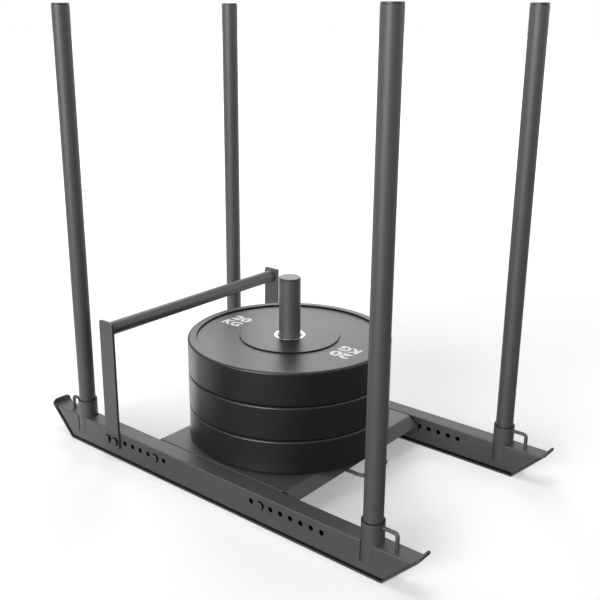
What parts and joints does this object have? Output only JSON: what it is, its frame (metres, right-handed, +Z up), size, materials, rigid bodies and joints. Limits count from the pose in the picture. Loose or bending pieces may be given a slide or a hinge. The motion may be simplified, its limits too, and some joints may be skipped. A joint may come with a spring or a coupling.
{
  "type": "push sled",
  "caption": "Push sled on skid runners with lift-out push poles, a low push bar, and bumper plates stacked on the deck's weight horn; harness loops and a tow loop.",
  "frame": {"origin": "on the floor, under the middle of the sled's length and width", "axes": "+X forward, the way the sled is pushed and the end with the tow loop; +Y to the sled's left; +Z up"},
  "size_m": [1.0425, 0.578, 1.004],
  "materials": {
    "powder_coat": "fine-grained satin black powder coat",
    "plate_rubber": "moulded black rubber, matte faces and satin flanks",
    "hub_steel": "turned steel",
    "cap_plastic": "black moulded plastic",
    "black_zinc": "black zinc plated fasteners",
    "packing_rubber": "black packing strip, set back in the joint"
  },
  "bodies": {
    "frame": {"left_runner": "powder_coat", "left_skid": "powder_coat", "left_skid_packer": "packing_rubber", "left_front_socket": "powder_coat", "left_front_bushing": "cap_plastic", "left_front_harness_loop": "powder_coat", "left_front_deck_bolt": "black_zinc", "left_front_deck_nut": "black_zinc", "left_front_push_bar_bolt": "black_zinc", "left_front_push_bar_nut": "black_zinc", "left_rear_socket": "powder_coat", "left_rear_bushing": "cap_plastic", "left_rear_harness_loop": "powder_coat", "left_rear_deck_bolt": "black_zinc", "left_rear_deck_nut": "black_zinc", "left_rear_push_bar_bolt": "black_zinc", "left_rear_push_bar_nut": "black_zinc", "left_push_bar_upright": "powder_coat", "right_runner": "powder_coat", "right_skid": "powder_coat", "right_skid_packer": "packing_rubber", "right_front_socket": "powder_coat", "right_front_bushing": "cap_plastic", "right_front_harness_loop": "powder_coat", "right_front_deck_bolt": "black_zinc", "right_front_deck_nut": "black_zinc", "right_front_push_bar_bolt": "black_zinc", "right_front_push_bar_nut": "black_zinc", "right_rear_socket": "powder_coat", "right_rear_bushing": "cap_plastic", "right_rear_harness_loop": "powder_coat", "right_rear_deck_bolt": "black_zinc", "right_rear_deck_nut": "black_zinc", "right_rear_push_bar_bolt": "black_zinc", "right_rear_push_bar_nut": "black_zinc", "right_push_bar_upright": "powder_coat", "deck": "powder_coat", "tow_loop": "powder_coat", "weight_horn": "powder_coat", "horn_cap": "cap_plastic", "push_bar_tube": "powder_coat"},
    "left_front_pole": {"left_front_pole": "powder_coat", "left_front_pole_cap": "cap_plastic"},
    "left_rear_pole": {"left_rear_pole": "powder_coat", "left_rear_pole_cap": "cap_plastic"},
    "right_front_pole": {"right_front_pole": "powder_coat", "right_front_pole_cap": "cap_plastic"},
    "right_rear_pole": {"right_rear_pole": "powder_coat", "right_rear_pole_cap": "cap_plastic"},
    "bottom_plate": {"bottom_plate": "plate_rubber", "bottom_plate_hub": "hub_steel"},
    "middle_plate": {"middle_plate": "plate_rubber", "middle_plate_hub": "hub_steel"},
    "top_plate": {"top_plate": "plate_rubber", "top_plate_hub": "hub_steel"}
  },
  "joints": [
    {"name": "left_front_pole_lift", "type": "slide", "parent": "frame", "child": "left_front_pole", "axis": [0, 0, 1], "range_m": [0, 0.09]},
    {"name": "left_rear_pole_lift", "type": "slide", "parent": "frame", "child": "left_rear_pole", "axis": [0, 0, 1], "range_m": [0, 0.09]},
    {"name": "right_front_pole_lift", "type": "slide", "parent": "frame", "child": "right_front_pole", "axis": [0, 0, 1], "range_m": [0, 0.09]},
    {"name": "right_rear_pole_lift", "type": "slide", "parent": "frame", "child": "right_rear_pole", "axis": [0, 0, 1], "range_m": [0, 0.09]},
    {"name": "bottom_plate_lift", "type": "slide", "parent": "frame", "child": "bottom_plate", "axis": [0, 0, 1], "range_m": [0, 0.367]},
    {"name": "middle_plate_lift", "type": "slide", "parent": "bottom_plate", "child": "middle_plate", "axis": [0, 0, 1], "range_m": [0, 0.291]},
    {"name": "top_plate_lift", "type": "slide", "parent": "middle_plate", "child": "top_plate", "axis": [0, 0, 1], "range_m": [0, 0.215]}
  ]
}
